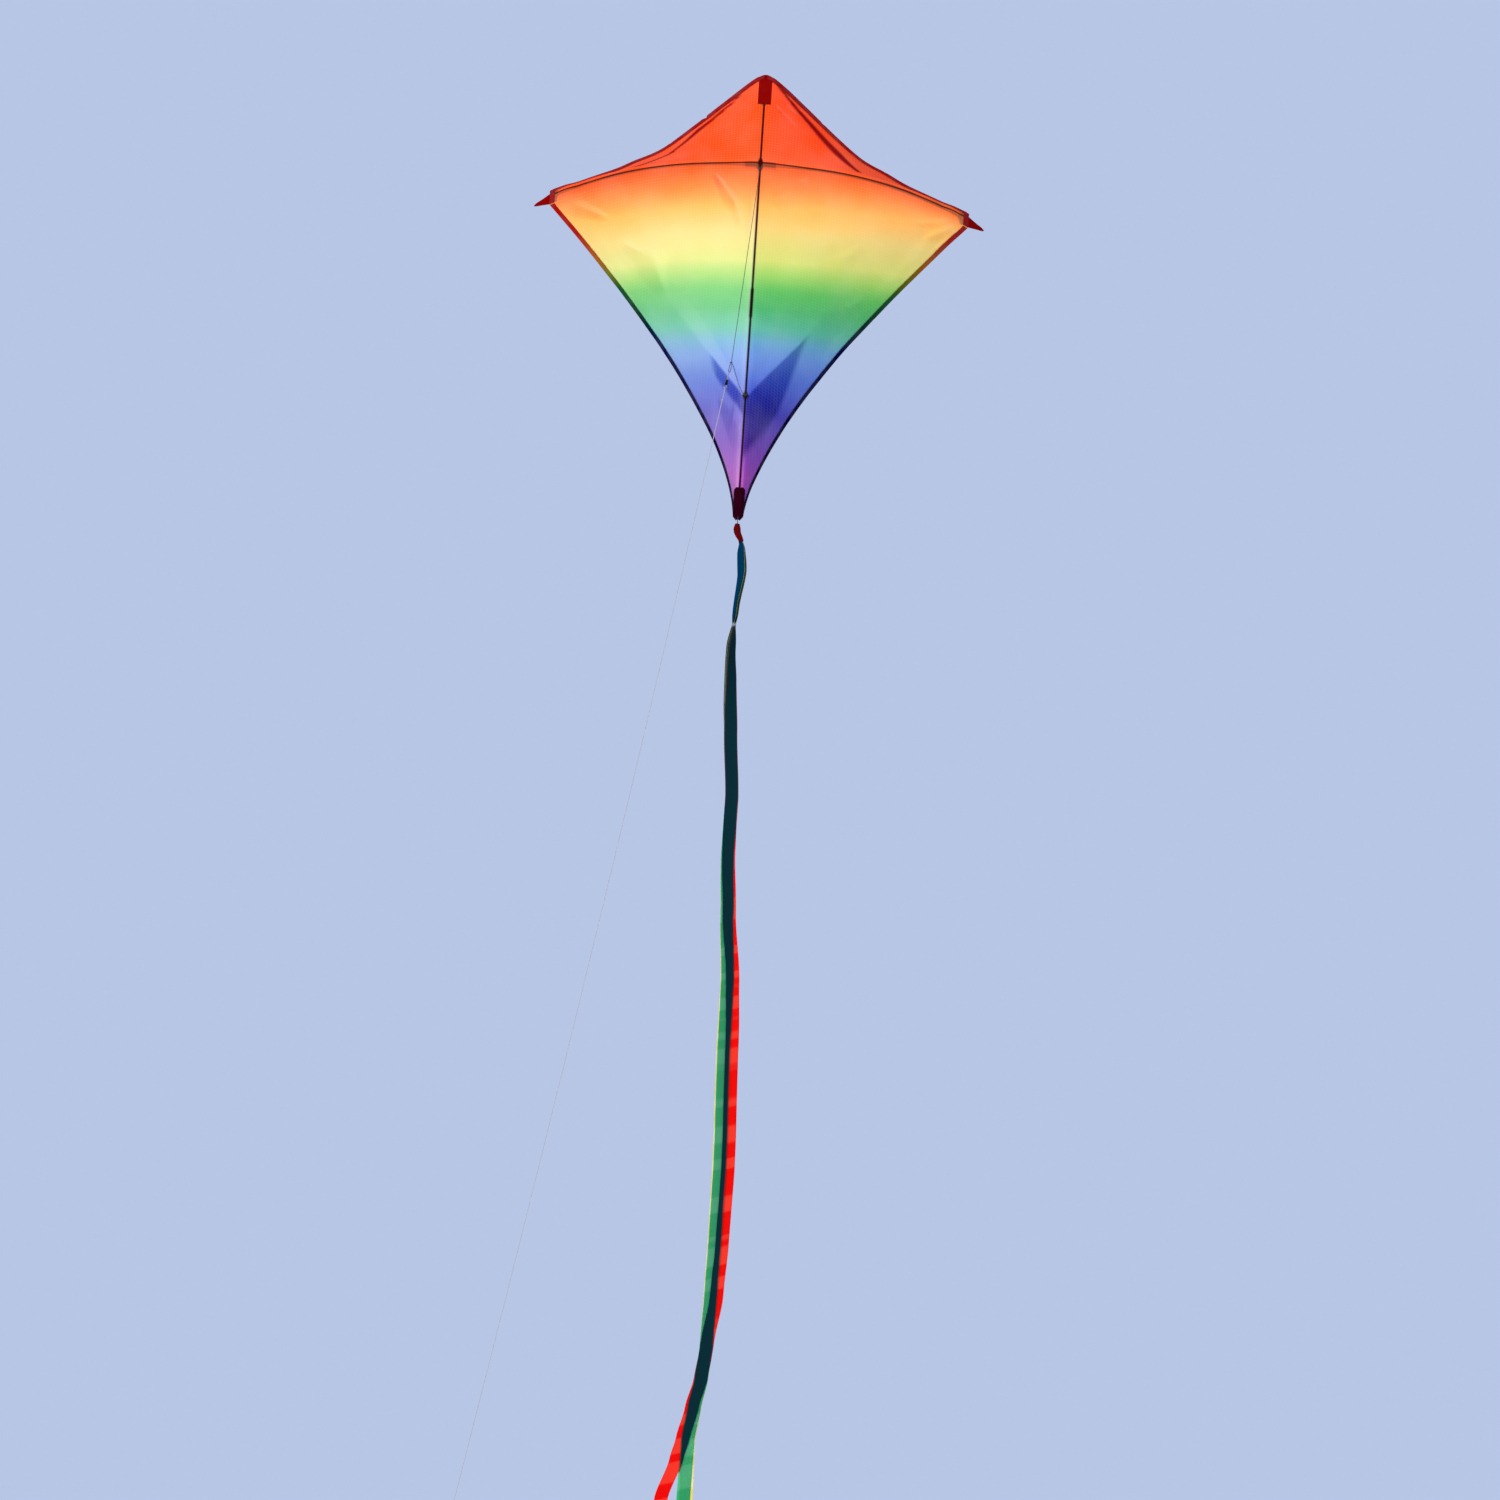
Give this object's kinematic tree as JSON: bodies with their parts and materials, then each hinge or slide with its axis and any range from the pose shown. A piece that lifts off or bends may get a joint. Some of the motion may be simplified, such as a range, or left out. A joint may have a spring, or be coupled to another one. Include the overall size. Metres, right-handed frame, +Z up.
{
  "type": "diamond kite",
  "caption": "Diamond kite with a bowed cross spar, rainbow cloth sail, bridle with snap swivel, taut flying line and a long ribbon tail.",
  "frame": {"origin": "middle of the flat back face of the centre cross fitting, where spine and cross spar meet", "axes": "+Z up the spine to the nose, +X to the right wing seen from the bridle side, +Y away from the flyer, out of the back"},
  "size_m": [0.7658, 0.5229, 2.9417],
  "materials": {
    "sail": "thin woven polyester, rainbow print, translucent",
    "hem_red": "folded double cloth, stitched",
    "hem_rainbow": "folded double cloth, stitched, rainbow print",
    "pocket_red": "stitched double cloth",
    "pocket_maroon": "stitched double cloth",
    "fibre_rod": "pultruded fibre rod",
    "ferrule": "black tube",
    "vinyl": "soft black vinyl",
    "bridle_cord": "dark braided cord",
    "snap_steel": "bright wire",
    "swivel_black": "black nickel",
    "line_cord": "pale twisted line",
    "tab_cloth": "folded cloth",
    "ribbon_red": "thin translucent ribbon",
    "ribbon_yellow": "thin translucent ribbon",
    "ribbon_green": "thin translucent ribbon",
    "ribbon_blue": "thin translucent ribbon"
  },
  "bodies": {
    "kite": {"sail": "sail", "leading_hem_left": "hem_red", "leading_hem_right": "hem_red", "trailing_hem_left": "hem_rainbow", "trailing_hem_right": "hem_rainbow", "nose_pocket": "pocket_red", "tail_pocket": "pocket_maroon", "wing_tip_pocket_left": "pocket_red", "wing_tip_pocket_right": "pocket_red", "spine_upper": "fibre_rod", "spine_lower": "fibre_rod", "spine_ferrule": "ferrule", "cross_spar_left": "fibre_rod", "cross_spar_right": "fibre_rod", "cross_spar_ferrule": "ferrule", "spine_top_cap": "vinyl", "spine_bottom_cap": "vinyl", "spar_cap_left": "vinyl", "spar_cap_right": "vinyl", "centre_cross_fitting": "vinyl", "upper_bridle_tie": "bridle_cord", "lower_bridle_tie": "bridle_cord", "stop_ring_upper": "vinyl", "stop_ring_lower": "vinyl"},
    "bridle": {"bridle_upper_leg": "bridle_cord", "bridle_lower_leg": "bridle_cord", "bridle_knot": "bridle_cord", "tow_loop": "bridle_cord"},
    "clip": {"snap_hook": "snap_steel", "swivel_barrel": "swivel_black"},
    "gate": {"snap_gate": "snap_steel"},
    "line": {"line_eye": "snap_steel", "line_hitch": "line_cord", "line_knot": "line_cord", "flying_line": "line_cord", "line_end_knot": "line_cord", "line_end_loop": "line_cord"},
    "tail_link": {"tail_link": "bridle_cord"},
    "tail": {"tail_tab": "tab_cloth", "tail_ribbon_red": "ribbon_red", "tail_ribbon_yellow": "ribbon_yellow", "tail_ribbon_green": "ribbon_green", "tail_ribbon_blue": "ribbon_blue"}
  },
  "joints": [
    {"name": "bridle_swing", "type": "hinge", "parent": "kite", "child": "bridle", "pos_m": [0, -0.02, -0.0115], "axis": [0, 0, 1], "range_deg": [-41, 79]},
    {"name": "clip_pitch", "type": "hinge", "parent": "bridle", "child": "clip", "pos_m": [-0.02912, -0.09735, -0.45265], "axis": [0.9899, -0.0153, -0.1409], "range_deg": [-40, 0]},
    {"name": "swivel_spin", "type": "hinge", "parent": "clip", "child": "line", "pos_m": [-0.03181, -0.09937, -0.47135], "axis": [-0.1418, -0.1067, -0.9841], "continuous": true},
    {"name": "gate_open", "type": "hinge", "parent": "clip", "child": "gate", "pos_m": [-0.03052, -0.09512, -0.46275], "axis": [0.9899, -0.0153, -0.1409], "range_deg": [0, 32], "stiffness_Nm_per_rad": 0.0006, "springref_deg": -5.73},
    {"name": "tail_fore_aft", "type": "hinge", "parent": "kite", "child": "tail_link", "pos_m": [0, -0.0156, -0.6845], "axis": [1, 0, 0], "range_deg": [0, 80]},
    {"name": "tail_sway", "type": "hinge", "parent": "tail_link", "child": "tail", "pos_m": [0, -0.0156, -0.6965], "axis": [0, 1, 0], "range_deg": [-45, 45]}
  ]
}
